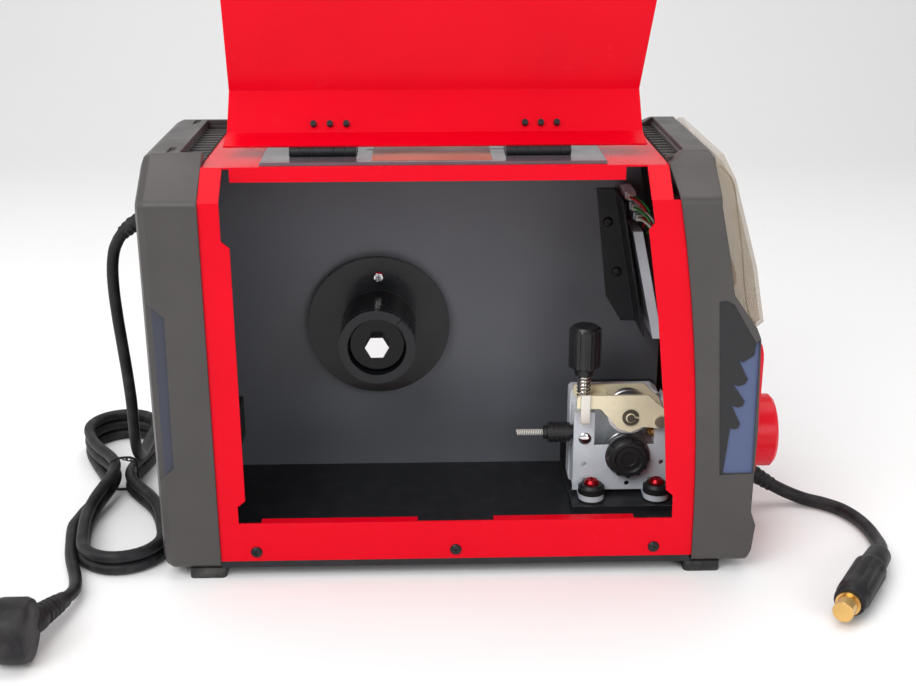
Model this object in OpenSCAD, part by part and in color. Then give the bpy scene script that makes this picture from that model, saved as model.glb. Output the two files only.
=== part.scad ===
// Compact MIG welding machine with an open wire compartment, built as an assembly of separate pieces.
// +X is the front, -Y is the wire compartment's side, +Z is up. The origin is the centre of the base.

/* [Housing] */
// Width over the two plastic bezels
body_w = 184; // [180:1:190]
// Rear face of the rear bezel, measured back from the centre
rear_reach = 194.5; // [192:0.5:197]
// Height of the lifting grips' top
grip_top_z = 267; // [266:0.5:268]
// Height of the flat top cover
top_z = 260.4; // [260.2:0.1:260.6]
// Height of the fold where the sides turn into the chamfer
fold_z = 244; // [243:0.5:245]
// Thickness of the folded sheets
sheet = 1.2; // [1:0.1:1.3]
// Height of the rubber feet
foot_h = 7; // [6:0.5:7]

/* [Compartment] */
// Height of the opening's lower edge
opening_bottom_z = 38.3; // [36:0.5:40]
// Rear edge of the opening
opening_rear_x = -145.5; // [-148:0.5:-144]
// Height of the compartment floor
floor_z = 20; // [19:0.5:20]
// Face of the divider plate on the compartment's side
divider_y = 39; // [38.5:0.5:39.5]

/* [Lid] */
// Angle that the lid stands open at
lid_open_angle = 166.8; // [160:0.2:168]
// Distance of the hinge axis in front of the machine's middle plane
hinge_y = 46.1; // [45.9:0.1:46.3]
// Height of the hinge axis
hinge_z = 265; // [264.9:0.05:265.1]
// Height of the closed lid's lower edge
lid_bottom_z = 24; // [23:1:28]

/* [Spool holder] */
// Length of the hub in front of its flange
hub_len = 45.8; // [44:0.2:48]
// Radius of the hub
hub_r = 25.5; // [25:0.1:25.8]
// Radius of the flange
flange_r = 49; // [46:0.5:52]

/* [Wire feeder] */
// Radius of the drive roller and of the pressure roller
roller_r = 14.6; // [14.2:0.1:14.7]
// Length of the tension knob
tension_knob_h = 29; // [26:1:32]
// Radius of the torch socket's collar
collar_r = 24.5; // [23:0.5:25.5]

/* [Cords] */
// Diameter of the mains cord
mains_d = 8; // [7.8:0.1:8.2]
// Diameter of the polarity lead
lead_d = 9; // [8.8:0.1:9.2]

/* [Hidden] */
$fn = 48;
half_w = body_w / 2;
rear_x = -rear_reach;
seam_x = -158;               // rear bezel meets the red sheets
side_y = half_w - 1.6;       // outer face of the red sides
top_half_w = side_y - 21.2;  // where the chamfer meets the top
bezel_bottom_z = 7;
red_bottom_z = 12;
hub_x = -59.1;
hub_z = 128;
hub_face_y = 31.1;           // front face of the flange
hub_front_y = hub_face_y - hub_len;
wire_y = -17;
wire_z = 67;
roller_x = 109;
roller_half_w = 5.5;
arm_pin_x = 129;
arm_pin_z = 79;
stud_x = 78.6;
stud_z = 77;
knob_bottom_z = 108.6;
latch_x = -9;
latch_z = 50;
panel_tilt = 11.5;
panel_x = 158.5;
panel_z = 166;
panel_len = 88;
visor_pin_x = 149;
visor_pin_z = 263.4;
fan_y = 63.5;
fan_z = 145;
run_gap = 0.05;              // radial clearance of a running fit

// Mains cord: hanging stretch, from the rear gland down to the hank
mains_drop = [
    [-206.5, 28, 206], [-213, 28, 205.4], [-221, 28, 202.6], [-229, 28, 196.6], [-235, 28, 187],
    [-237.8, 28, 175], [-238.6, 28, 158], [-237.8, 28, 138], [-236.2, 28, 116], [-234.6, 28, 94],
    [-233.6, 28, 74], [-233.6, 28.4, 57], [-234.2, 31.6, 43], [-235, 39, 31.6], [-235.6, 49, 24.8]
];
// Mains cord: tail on the floor, from the hank to the plug's strain relief
mains_tail = [
    [-264.1, 5, 4.2], [-267.2, -10, 4.2], [-268.4, -22, 4.2], [-266.6, -35, 4.2], [-263.8, -48, 4.2],
    [-260.6, -62, 4.2], [-256.2, -76, 4.2], [-251.2, -90, 4.4], [-247.4, -103, 5.4],
    [-245.3, -114, 7], [-245.4, -122.5, 8.5], [-247, -130, 9.8]
];
// Polarity lead: from the front gland over the floor to its plug
lead_route = [
    [187, 3, 34], [194, 3, 31], [204, 3, 24], [216, 4, 16], [228, 4, 9.5], [240, 1, 5.5],
    [252, -5, 4.6], [262, -15, 4.6], [268.5, -29, 4.6], [271.5, -45, 4.6], [271.5, -61, 5],
    [269, -76, 8], [264, -90, 11]
];
hank_near = [-227, -58];
hank_far = [-262, 112];
hank_r = 30;
hank_h = 26;
plug_dir = [-0.54, -0.84, 0];

// ---- outlines ----

function unit(v) = v / norm(v);

// Points of an arc of radius r that rounds the corner p1 between p0 and p2
function corner(p0, p1, p2, r, n) =
    let (
        v1 = unit(p0 - p1),
        v2 = unit(p2 - p1),
        half = acos(v1 * v2) / 2,
        mid = p1 + unit(v1 + v2) * r / sin(half),
        s = p1 + v1 * r / tan(half) - mid,
        e = p1 + v2 * r / tan(half) - mid,
        a0 = atan2(s[1], s[0]),
        turn = atan2(s[0] * e[1] - s[1] * e[0], s * e)
    )
    [for (i = [0:n]) mid + r * [cos(a0 + turn * i / n), sin(a0 + turn * i / n)]];

// A polygon's points with every corner rounded
function rounded(pts, r, n = 4) =
    let (c = len(pts))
    [for (i = [0:c - 1]) each corner(pts[(i + c - 1) % c], pts[i], pts[(i + 1) % c], r, n)];

// A rectangle centred on the origin with rounded corners
function round_rect(w, h, r, n = 4) =
    rounded([[-w / 2, -h / 2], [w / 2, -h / 2], [w / 2, h / 2], [-w / 2, h / 2]], r, n);

// Front edge of the red sheets: nearly upright, curving back towards the top
function front_edge_x(z) = 141.6 - 20 * pow(max(0, (z - 14) / 234), 2.2);

// End view of the housing, shrunk by d
function end_outline(d, low) = [
    [-half_w + d, low + d], [half_w - d, low + d], [half_w - d, fold_z - d / 3],
    [half_w - 32 - d / 3, grip_top_z - d], [-half_w + 32 + d / 3, grip_top_z - d],
    [-half_w + d, fold_z - d / 3]
];

module along_x(x0, x1) translate([x0, 0, 0]) rotate([90, 0, 90]) linear_extrude(x1 - x0) children();
module along_y(y0, y1) translate([0, y1, 0]) rotate([90, 0, 0]) linear_extrude(y1 - y0) children();
module cyl_x(r, x0, x1, y, z) translate([x0, y, z]) rotate([0, 90, 0]) cylinder(r = r, h = x1 - x0);
module cyl_y(r, y0, y1, x, z) translate([x, y1, z]) rotate([90, 0, 0]) cylinder(r = r, h = y1 - y0);
module block(x0, x1, y0, y1, z0, z1) translate([x0, y0, z0]) cube([x1 - x0, y1 - y0, z1 - z0]);

// A pan-head screw with a cross recess; its head stands out along +Z from the origin
module pan_screw(head_r, head_h, shank_r, shank_len) {
    difference() {
        rotate_extrude() polygon([
            [0, 0], [head_r, 0], [head_r, head_h * 0.4], [head_r * 0.75, head_h * 0.85],
            [head_r * 0.4, head_h], [0, head_h]
        ]);
        for (a = [0, 90]) rotate(a) translate([0, 0, head_h])
            cube([head_r * 1.1, head_r * 0.28, head_h], center = true);
    }
    translate([0, 0, -shank_len]) cylinder(r = shank_r, h = shank_len + 0.1, $fn = 24);
}

// ---- housing ----

module base_pan() color("dimgray") {
    block(seam_x + 0.2, 141.4, -side_y + 0.4, side_y - 0.4, 7.4, 8.8);
    for (s = [-1, 1]) scale([1, s, 1])
        block(seam_x, 140.5, side_y - 1.6, side_y - 0.4, 8.8, red_bottom_z - 0.2);
}

module feet() color([0.07, 0.07, 0.07])
    for (x = [-167, 149], s = [-1, 1])
        translate([x, s * (half_w - 13), 0]) linear_extrude(foot_h) polygon(round_rect(23, 22, 3));

// Outline of the sheets at the near and far side, front edge curved
function side_outline(z0, z1) = concat(
    [[seam_x, z0], [front_edge_x(z0), z0]],
    [for (i = [1:7]) let (z = z0 + (z1 - z0) * i / 8) [front_edge_x(z), z]],
    [[front_edge_x(z1), z1], [seam_x, z1]]
);

// The opening, with a tab along its rear edge and a longer one along its front edge
function opening_outline() = [
    [opening_rear_x, opening_bottom_z], [front_edge_x(41) - 13.5, opening_bottom_z],
    [front_edge_x(54) - 13.5, 54], [front_edge_x(58) - 18, 58], [front_edge_x(100) - 19, 100],
    [front_edge_x(172) - 20.5, 172], [front_edge_x(226) - 21, 226], [front_edge_x(230) - 17, 230],
    [front_edge_x(fold_z) - 17, fold_z + 1], [opening_rear_x, fold_z + 1], [opening_rear_x, 221],
    [opening_rear_x + 4.9, 217], [opening_rear_x + 4.9, 54], [opening_rear_x, 50]
];

module chamfer_strip(x0, x1, s) along_x(x0, x1) scale([s, 1, 1]) polygon([
    [side_y, fold_z], [top_half_w, top_z], [top_half_w, top_z - sheet], [side_y - sheet, fold_z - 0.4]
]);

module side_frame() color([0.85, 0.02, 0.09]) difference() {
    union() {
        difference() {
            along_y(-side_y, -side_y + sheet) polygon(side_outline(red_bottom_z, fold_z));
            along_y(-side_y - 1, -side_y + sheet + 1) polygon(opening_outline());
        }
        chamfer_strip(seam_x, opening_rear_x, -1);
        chamfer_strip(front_edge_x(fold_z) - 17, front_edge_x(top_z) - 1, -1);
        // lower flange that stiffens the opening, in two lengths that leave room for the latch
        for (run = [[opening_rear_x + 14, latch_x - 24], [latch_x + 24, 104]])
            block(run[0], run[1], -side_y + sheet, -side_y + 7, opening_bottom_z - 1.4, opening_bottom_z);
    }
    for (x = [-135.2, -9.1, 117]) cyl_y(2.2, -side_y - 1, -side_y + 3, x, 18.4);
}

module top_cover() color([0.85, 0.02, 0.09]) {
    block(seam_x, front_edge_x(top_z) - 1, -top_half_w, top_half_w, top_z - sheet, top_z);
    block(opening_rear_x + 4, 93, -top_half_w, -top_half_w + sheet, top_z - 9, top_z - sheet);
}

module far_side_panel() color([0.85, 0.02, 0.09]) difference() {
    union() {
        along_y(side_y - sheet, side_y) polygon(side_outline(red_bottom_z, fold_z));
        chamfer_strip(seam_x, front_edge_x(top_z) - 1, 1);
    }
    for (col = [0:3], row = [0:6])
        translate([-112 + col * 62, side_y - 3, 74 + row * 20]) rotate([0, 12, 0]) cube([40, 6, 5]);
    for (x = [-135.2, -9.1, 117]) cyl_y(2.2, side_y - 3, side_y + 1, x, 18.4);
}

module frame_screws() color("black") {
    for (x = [-135.2, -9.1, 117], s = [-1, 1])
        translate([x, s * side_y, 18.4]) rotate([-s * 90, 0, 0]) pan_screw(3.6, 2, 2, 1.3);
    for (p = [[98.5, 198.8], [105.9, 163.6]])
        translate([p[0], divider_y - 1.2, p[1]]) rotate([90, 0, 0]) pan_screw(3.4, 2, 1.7, 5);
}

module divider_plate() color([0.16, 0.16, 0.17]) difference() {
    along_y(divider_y, divider_y + sheet) polygon([
        [-186, 10.6], [138, 10.6], [138, 120], [front_edge_x(172) - 2, 172], [118, 246], [114, 246],
        [114, top_z - sheet - 0.2], [-157, top_z - sheet - 0.2], [-157, fold_z], [-186, fold_z]
    ]);
    cyl_y(16, divider_y - 1, divider_y + 3, roller_x, 58);
    cyl_y(6, divider_y - 1, divider_y + 3, hub_x, hub_z);
    for (p = [[98.5, 198.8], [105.9, 163.6]]) cyl_y(1.75, divider_y - 1, divider_y + 3, p[0], p[1]);
}

module compartment_floor() color([0.12, 0.12, 0.13]) {
    block(-186, 150, -side_y + sheet + 0.6, divider_y - 0.2, floor_z - sheet, floor_z);
    for (x = [-150, -10, 130]) block(x, x + sheet, -70, 30, 8.8, floor_z - sheet);
}

module grip_ribs(x0, x1) {
    for (i = [-6:6]) block(x0, x1, i * 8.4 - 1.3, i * 8.4 + 1.3, 250, 261.5);
}

module rear_bezel() color([0.17, 0.17, 0.19]) {
    difference() {
        hull() {
            along_x(rear_x, rear_x + 0.4) polygon(rounded(end_outline(6, bezel_bottom_z), 6, 3));
            along_x(rear_x + 2, rear_x + 2.4) polygon(rounded(end_outline(1.8, bezel_bottom_z), 6, 3));
            along_x(rear_x + 6, seam_x) polygon(rounded(end_outline(0, bezel_bottom_z), 6, 3));
        }
        along_x(rear_x + 5, seam_x + 1) polygon(rounded(end_outline(3.2, bezel_bottom_z), 4, 3));
        along_x(rear_x - 1, rear_x + 6) polygon(rounded(end_outline(15, bezel_bottom_z), 8, 3));
        // finger pocket behind the lifting bar
        block(seam_x - 14, seam_x + 1, -56, 56, 255, grip_top_z + 1);
        // hand recess along the rear vertical edge, both sides
        for (s = [-1, 1]) scale([1, s, 1]) along_y(half_w - 1.6, half_w + 1) polygon([
            [rear_x - 1, 188], [rear_x + 13, 175], [rear_x + 11.5, 78], [rear_x - 1, 66]
        ]);
        for (s = [-1, 1]) translate([-178, s * 48, grip_top_z]) cube([4, 16, 2.4], center = true);
    }
    difference() {
        block(seam_x - 17, seam_x - 0.2, -59, 59, 247, 263.6);
        block(seam_x - 14, seam_x + 1, -56, 56, 250, 270);
    }
    grip_ribs(seam_x - 14.5, seam_x - 0.2);
}

// Side view of the front bezel; t moves its front face back
function nose_front(t) = [
    [146 - t, 263], [146.5 - t, 240], [152.5 - t, 213], [157.5 - t, 186], [172.5 - t, 165],
    [175.4 - t, 158], [177.8 - t, 99], [177.5 - t, 43], [181 - t, 33], [179.5 - t, 16]
];
function nose_outline() = concat(
    [[176, bezel_bottom_z], [141.6, bezel_bottom_z]],
    [for (i = [0:8]) let (z = 14 + 234 * i / 8) [front_edge_x(z), z]],
    [[118.5, 260.6], [128, grip_top_z], [143.5, grip_top_z]],
    nose_front(0)
);

module front_bezel() color([0.17, 0.17, 0.19]) {
    difference() {
        intersection() {
            along_x(100, 190) polygon(rounded(end_outline(0, bezel_bottom_z), 6, 4));
            along_y(-half_w - 1, half_w + 1) polygon(nose_outline());
        }
        // hollow inside
        intersection() {
            along_x(90, 200) polygon(rounded(end_outline(3.2, bezel_bottom_z), 4, 3));
            along_y(-half_w, half_w) polygon(concat(
                [[90, 0], [176, 0]], [for (p = [9:-1:0]) nose_front(3.4)[p]], [[138, 263.6], [90, 263.6]]
            ));
        }
        // windows for the control panel and the socket panel
        along_y(-66, 66) polygon([[120, 170], [185, 170], [185, 254], [120, 254]]);
        block(150, 200, -72, 72, 15, 156);
        // recess in each side, shallow behind four slanted fins and deeper in front of them
        for (s = [-1, 1]) scale([1, s, 1]) {
            along_y(half_w - 0.7, half_w + 1) polygon([
                [148.5, 182], [152.7, 183], [157.8, 180], [172.6, 155.5],
                [174.8, 157.5], [176.7, 69.2], [155.9, 68.3]
            ]);
            along_y(half_w - 1.8, half_w + 1) polygon([
                [174.8, 157.5], [172.6, 154.5], [172, 147.6], [165.7, 143.2], [162.7, 144.8],
                [169.2, 132.1], [167.5, 128.7], [163.5, 127.7], [160, 129.5],
                [168.3, 117.5], [167.2, 114.6], [164.1, 113.6], [160.3, 115.2],
                [166.4, 102.8], [165.7, 100], [162.8, 99], [160.6, 100.2], [157.8, 69.2], [176.7, 69.2]
            ]);
        }
        // finger pocket behind the lifting bar
        block(114, 129, -56, 56, 255, grip_top_z + 1);
    }
    difference() {
        block(119, 131, -59, 59, 247, 263.6);
        block(115, 128, -56, 56, 250, 270);
    }
    grip_ribs(119.2, 128.4);
}

module rear_panel() color([0.13, 0.13, 0.14]) difference() {
    along_x(rear_x + 5.2, rear_x + 6.6) polygon(rounded(end_outline(3.4, bezel_bottom_z), 4, 3));
    cyl_x(7.2, rear_x, rear_x + 10, 28, 206);
    cyl_x(6.2, rear_x, rear_x + 10, 28, 60);
    block(rear_x, rear_x + 10, -41, -19, 191, 219);
    for (i = [-3:3]) let (h = 2 * sqrt(484 - 49 * i * i))
        translate([rear_x + 6, fan_y + i * 6, fan_z]) cube([10, 3.2, h], center = true);
}

module front_panel() color([0.8, 0.02, 0.08]) difference() {
    union() {
        block(170.4, 172, -84, 84, 14, 156.5);
        hull() {
            along_x(172, 178) polygon([for (p = round_rect(128, 102, 12, 4)) p + [0, 95]]);
            along_x(178, 187) polygon([for (p = round_rect(118, 92, 9, 4)) p + [0, 95]]);
        }
    }
    block(160, 172.1, -84.5, 84.5, 152, 160);
    block(160, 185, -50, 50, 52, 138);
    cyl_x(20, 170, 190, wire_y, wire_z);
    for (p = socket_places) cyl_x(12, 170, 190, p[0], p[1]);
    cyl_x(7.2, 165, 176, 3, 34);
}

socket_places = [[-17, 120], [34, 120]];

// ---- lid and hinges ----

// Places a child that is drawn in the closed position at the open one
module opened() translate([0, -hinge_y, hinge_z]) rotate([-lid_open_angle, 0, 0])
    translate([0, hinge_y, -hinge_z]) children();

hinge_spans = [[-108, -67.5], [23, 62.5]];
knuckle_r = 2.8;
pin_r = 1.3;
lid_flange_z = 262.5;
lid_chamfer_tilt = 36.5;
lid_rear_x = -147.8;
lid_front_x = 109;
lid_skin_y = -half_w - 1.2;
lid_fold = [-68.8, lid_flange_z];
lid_edge = [lid_skin_y, fold_z + 0.7];

module knuckles(span, parity) for (k = [0:5]) if (k % 2 == parity)
    let (w = (span[1] - span[0]) / 6)
    difference() {
        cyl_x(knuckle_r, span[0] + k * w + 0.15, span[0] + (k + 1) * w - 0.15, -hinge_y, hinge_z);
        cyl_x(pin_r + (parity == 0 ? 0 : run_gap), span[0] - 1, span[1] + 1, -hinge_y, hinge_z);
    }

module hinge_console() color([0.09, 0.09, 0.1]) difference() {
    along_x(-124, 82) polygon([
        [-66, top_z], [12, top_z], [12, top_z + 0.6], [10, top_z + 1.6],
        [-64, top_z + 1.6], [-66, top_z + 0.6]
    ]);
    block(-62, 38, -27, -25, top_z + 0.8, top_z + 3);
    block(-62, 38, -9, -7, top_z + 0.8, top_z + 3);
}

module hinge_base_leaves() color([0.1, 0.1, 0.1]) for (span = hinge_spans) {
    w = (span[1] - span[0]) / 6;
    knuckles(span, 0);
    cyl_x(pin_r, span[0], span[1], -hinge_y, hinge_z);
    block(span[0], span[1], -hinge_y + 3.2, -22, top_z + 1.6, top_z + 3);
    for (k = [0, 2, 4])
        block(span[0] + k * w + 0.15, span[0] + (k + 1) * w - 0.15, -hinge_y + 0.8, -hinge_y + 3.4,
            top_z + 1.8, top_z + 3);
    for (k = [0.2, 0.5, 0.8]) translate([span[0] + k * 6 * w, -32, top_z + 3]) pan_screw(2.6, 1.4, 1.4, 1.3);
}

module hinge_lid_leaves() color([0.1, 0.1, 0.1]) opened() for (span = hinge_spans) {
    w = (span[1] - span[0]) / 6;
    knuckles(span, 1);
    along_x(span[0], span[1]) polygon([
        [-hinge_y - 3.2, lid_flange_z + sheet], [-hinge_y - 3.2, lid_flange_z + sheet + 1.2],
        [lid_fold[0] - 0.7, lid_fold[1] + sheet + 1.2], [lid_fold[0] - 9.5, lid_fold[1] + sheet - 5],
        [lid_fold[0] - 8.7, lid_fold[1] + sheet - 5.9], [lid_fold[0] - 0.4, lid_fold[1] + sheet]
    ]);
    for (k = [1, 3, 5])
        block(span[0] + k * w + 0.15, span[0] + (k + 1) * w - 0.15, -hinge_y - 3.4, -hinge_y - 1.6,
            lid_flange_z + sheet, lid_flange_z + sheet + 1.2);
    for (k = [0.33, 0.58, 0.83]) translate([span[0] + k * 6 * w, lid_fold[0] - 4.2, lid_fold[1] - 3.3])
        rotate([180 + lid_chamfer_tilt, 0, 0]) cylinder(r = 1.9, h = 2.6, $fn = 24);
}

function lid_front(z) = lid_front_x + 0.11 * (fold_z - z);

module lid() color([0.88, 0.02, 0.09]) opened() {
    along_x(lid_rear_x, lid_front_x) polygon([
        [-hinge_y - 3.4, lid_flange_z], [-hinge_y - 3.4, lid_flange_z + sheet],
        [lid_fold[0] - 0.4, lid_fold[1] + sheet], [lid_edge[0] - 0.5, lid_edge[1] + 0.6],
        [lid_edge[0] - 0.5, lid_edge[1] - 1], [lid_edge[0] + 0.7, lid_edge[1] - 1],
        [lid_edge[0] + 0.7, lid_edge[1]], lid_fold
    ]);
    difference() {
        along_y(lid_edge[0] - 0.5, lid_edge[0] + 0.7) polygon([
            [lid_rear_x, fold_z - 0.3], [lid_rear_x, lid_bottom_z + 4], [lid_rear_x + 4, lid_bottom_z],
            [lid_front(lid_bottom_z) - 4, lid_bottom_z], [lid_front(lid_bottom_z), lid_bottom_z + 4],
            [lid_front_x, fold_z - 0.3]
        ]);
        cyl_y(4.1, lid_edge[0] - 3, lid_edge[0] + 3, latch_x, latch_z);
    }
    // stiffening return inside the opening
    block(-132, 104, lid_edge[0] + 0.7, lid_edge[0] + 2.2, opening_bottom_z - 14, opening_bottom_z - 12.6);
}

module lid_latch() color("black") opened() {
    cyl_y(13, lid_edge[0] - 6, lid_edge[0] - 0.9, latch_x, latch_z);
    block(latch_x - 11, latch_x + 11, lid_edge[0] - 14, lid_edge[0] - 6, latch_z - 2.6, latch_z + 2.6);
    cyl_y(4, lid_edge[0] - 1, lid_edge[0] + 7.4, latch_x, latch_z);
    block(latch_x - 4, latch_x + 19, lid_edge[0] + 7.4, lid_edge[0] + 9.4, latch_z - 4, latch_z + 4);
}

// ---- spool holder ----

module spool_hub() color("black") {
    difference() {
        union() {
            cyl_y(flange_r, hub_face_y, hub_face_y + 3.2, hub_x, hub_z);
            cyl_y(hub_r, hub_front_y, hub_face_y, hub_x, hub_z);
        }
        cyl_y(19.5, hub_front_y - 1, hub_front_y + 26, hub_x, hub_z);
        cyl_y(6 + run_gap, hub_front_y, hub_face_y + 5, hub_x, hub_z);
        cyl_y(2, hub_face_y - 8, hub_face_y + 5, hub_x + 0.4, hub_z + 35);
        // groove behind the front ring
        translate([hub_x, hub_front_y + 5.2, hub_z]) rotate([90, 0, 0]) rotate_extrude()
            translate([hub_r - 1.2, 0]) square([3, 1.2]);
    }
    // spring tab that holds the spool
    translate([hub_x, 0, hub_z]) rotate([0, -40, 0])
        block(20.5, hub_r - 0.8, hub_front_y - 1.4, hub_front_y + 1, -4, 4);
}

module spool_axle() color("silver") {
    cyl_y(6, hub_front_y + 8, divider_y + 8, hub_x, hub_z);
    difference() {
        cyl_y(11, divider_y + 1.2, divider_y + 6, hub_x, hub_z, $fn = 6);
        cyl_y(5.9, divider_y, divider_y + 7, hub_x, hub_z);
    }
    difference() {
        cyl_y(14, divider_y - 4.2, divider_y, hub_x, hub_z);
        cyl_y(5.9, divider_y - 5, divider_y + 1, hub_x, hub_z);
    }
}

module brake_spring() color("silver") for (i = [0:4]) translate([hub_x, hub_front_y + 8.9 + i * 3.9, hub_z])
    rotate([90, 0, 0]) rotate_extrude() translate([9.4, 0]) circle(0.9, $fn = 16);

module brake_bolt() color("gainsboro") {
    translate([hub_x, hub_front_y + 6, hub_z]) rotate([90, 0, 0]) cylinder(r = 8, h = 6.4, $fn = 6);
    cyl_y(17.8, hub_front_y + 6, hub_front_y + 7.7, hub_x, hub_z);
}

module flange_screw() color("gainsboro")
    translate([hub_x + 0.4, hub_face_y, hub_z + 35]) rotate([90, 0, 0]) pan_screw(4, 2.2, 1.95, 2.9);

// ---- wire feeder ----

bush_places = [[84, -32], [128, -32]];
lug_z = 25;
lug_h = 4.4;
plate_screws = [[94, 40], [132, 42], [109, 34]];
face_holes = [[79.5, 46], [109, 31.6], [132, 47]];

module feeder_body() color([0.62, 0.63, 0.64]) difference() {
    union() {
        along_y(-5, 9) polygon(rounded([[71, lug_z], [137, lug_z], [137, 86], [127, 93], [71, 93]], 3, 3));
        // front face, open round the drive roller so that the roller comes out
        along_y(-24.4, -23.1) difference() {
            polygon([
                [72, 27], [137, 27], [137, 72.8], [126.5, 72.8], [126.5, 60], [86, 60], [86, 84], [72, 84]
            ]);
            translate([roller_x, wire_z - 15]) circle(roller_r + 0.6);
        }
        // post with a slot for the tension stud
        block(72, 86, -24, -21, 30, 84);
        block(72, 86, -13, -5, 30, 84);
        block(72, 86, -21.5, -12.5, 56, 63.6);
        block(72, 77, -21.5, -12.5, 30, 62);
        // nose that holds the outlet guide
        block(126.5, 137, -24, -5, 60, 72.8);
        for (p = bush_places) translate([p[0], p[1], lug_z]) cylinder(r = 8.5, h = lug_h);
        for (p = bush_places) block(p[0] - 8.5, p[0] + 8.5, p[1], -4, lug_z, lug_z + lug_h);
    }
    for (p = bush_places) translate([p[0], p[1], 20]) cylinder(r = 2.6, h = 30);
    for (p = bush_places) translate([p[0], p[1], lug_z + lug_h]) cylinder(r = 9.2, h = 6.2);
    // wire line
    cyl_x(5, 60, 90, wire_y, wire_z);
    cyl_x(4.5, 120, 145, wire_y, wire_z);
    cyl_y(5.05, -30, 12, roller_x, wire_z - 15);
    cyl_y(2.05, -30, 12, stud_x, stud_z);
    cyl_y(3, -30, 12, arm_pin_x + 3, arm_pin_z + 8);
    for (p = plate_screws) cyl_y(2, -20, 12, p[0], p[1]);
    for (p = face_holes) cyl_y(1.7, -30, -21.5, p[0], p[1]);
}

module arm_side(y0, y1) difference() {
    along_y(y0, y1) polygon(rounded([
        [73, 97.4], [121, 97.4], [125, 93], [131, 88], [135, 78], [129, 73.5], [118, 75],
        [109, 71], [101, 74], [89, 88], [73, 88.4]
    ], 2, 3));
    cyl_y(2.5 + run_gap, y0 - 1, y1 + 1, arm_pin_x, arm_pin_z);
    cyl_y(2.5, y0 - 1, y1 + 1, roller_x, wire_z + 15);
}

module pressure_arm() color([0.86, 0.74, 0.45]) {
    arm_side(-29, -26.8);
    arm_side(-7.6, -5.4);
    difference() {
        block(79, 95, -26.8, -7.6, 90.2, 92.6);
        block(78, 82, wire_y - 2.9, wire_y + 2.9, 89, 94);
    }
}

module roller_pin() color("silver") {
    cyl_y(2.5, -31.4, -5.4, roller_x, wire_z + 15);
    difference() {
        cyl_y(5.6, -30.2, -29.2, roller_x, wire_z + 15);
        cyl_y(2.4, -32, -28, roller_x, wire_z + 15);
        block(roller_x, roller_x + 8, -32, -28, wire_z + 14, wire_z + 16);
    }
}

module groove_roller(z, bore) difference() {
    translate([roller_x, wire_y + roller_half_w, z]) rotate([90, 0, 0]) rotate_extrude($fn = 64) polygon([
        [0, 0], [roller_r, 0], [roller_r, 4.5], [roller_r - 1, 5.5], [roller_r, 6.5], [roller_r, 11], [0, 11]
    ]);
    cyl_y(bore, wire_y - 9, wire_y + 9, roller_x, z);
}

module pressure_roller() color("silver") groove_roller(wire_z + 15, 2.5 + run_gap);

module drive_roller() color([0.7, 0.66, 0.55]) {
    groove_roller(wire_z - 15, 4.9);
    cyl_y(5, wire_y - 8, 24, roller_x, wire_z - 15);
}

module drive_roller_cap() color("black") {
    translate([roller_x, wire_y - 8, wire_z - 15]) rotate([90, 0, 0]) rotate_extrude() polygon([
        [0, 0], [11.5, 0], [13.2, 1.2], [13.2, 5], [11.8, 6.6], [9.6, 6.6],
        [8.6, 5.4], [5.2, 5.4], [4.6, 4.6], [0, 4.6]
    ]);
    for (a = [0:30:330]) translate([roller_x, 0, wire_z - 15]) rotate([0, a, 0])
        block(12.2, 13.9, wire_y - 13, wire_y - 9.4, -1.3, 1.3);
}

module inlet_guide() color("black") difference() {
    union() {
        cyl_x(4.95, 70, 86, wire_y, wire_z);
        cyl_x(6.6, 55, 70, wire_y, wire_z);
        cyl_x(4.6, 52, 55, wire_y, wire_z);
        for (i = [0:3]) cyl_x(7.2, 57 + i * 3.2, 58.4 + i * 3.2, wire_y, wire_z);
        cyl_x(1.5, 36, 52, wire_y, wire_z);
    }
    cyl_x(0.7, 30, 90, wire_y, wire_z);
}

module outlet_guide() color([0.8, 0.62, 0.28]) difference() {
    union() {
        cyl_x(4.45, 126, 160, wire_y, wire_z);
        cyl_x(3, 122.5, 126, wire_y, wire_z);
    }
    cyl_x(0.8, 120, 170, wire_y, wire_z);
}

module tension_stud() color([0.85, 0.75, 0.5]) {
    difference() {
        cyl_y(3.2, -20.4, -13.6, stud_x, stud_z);
        cyl_y(2 + run_gap, -25, -10, stud_x, stud_z);
    }
    translate([stud_x, wire_y, stud_z + 2.6]) cylinder(r = 2.3, h = 54);
}

module tension_spring() color("gainsboro") for (i = [0:5])
    translate([stud_x, wire_y, 94.2 + i * 2.6]) rotate_extrude() translate([3.9, 0]) circle(0.8, $fn = 16);

module tension_knob() color([0.09, 0.09, 0.09]) difference() {
    union() {
        translate([stud_x, wire_y, knob_bottom_z]) cylinder(r = 6.4, h = 5.2);
        translate([stud_x, wire_y, knob_bottom_z + 5]) rotate_extrude() polygon([
            [0, 0], [8.6, 0], [9.7, 1.2], [9.7, tension_knob_h - 3], [8, tension_knob_h], [0, tension_knob_h]
        ]);
        for (a = [0:20:340]) translate([stud_x, wire_y, knob_bottom_z + 6]) rotate(a)
            translate([9.2, -0.9, 0]) cube([1.5, 1.8, tension_knob_h - 3]);
    }
    translate([stud_x, wire_y, knob_bottom_z - 1]) cylinder(r = 2.3 + run_gap, h = 26.6);
}

// Screws, the stud's pivot pin and the arm's pivot pin
module feeder_fasteners() color([0.75, 0.05, 0.08]) {
    for (p = bush_places) translate([p[0], p[1], lug_z + lug_h + 6]) pan_screw(5, 3.6, 2.5, 11);
    for (p = plate_screws) translate([p[0], -5, p[1]]) rotate([90, 0, 0]) pan_screw(3.2, 1.8, 1.9, 8);
    cyl_y(2, -25, -5, stud_x, stud_z);
    cyl_y(2.5, -31, -5, arm_pin_x, arm_pin_z);
    cyl_y(4, -31, -29.4, arm_pin_x, arm_pin_z);
}

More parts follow.
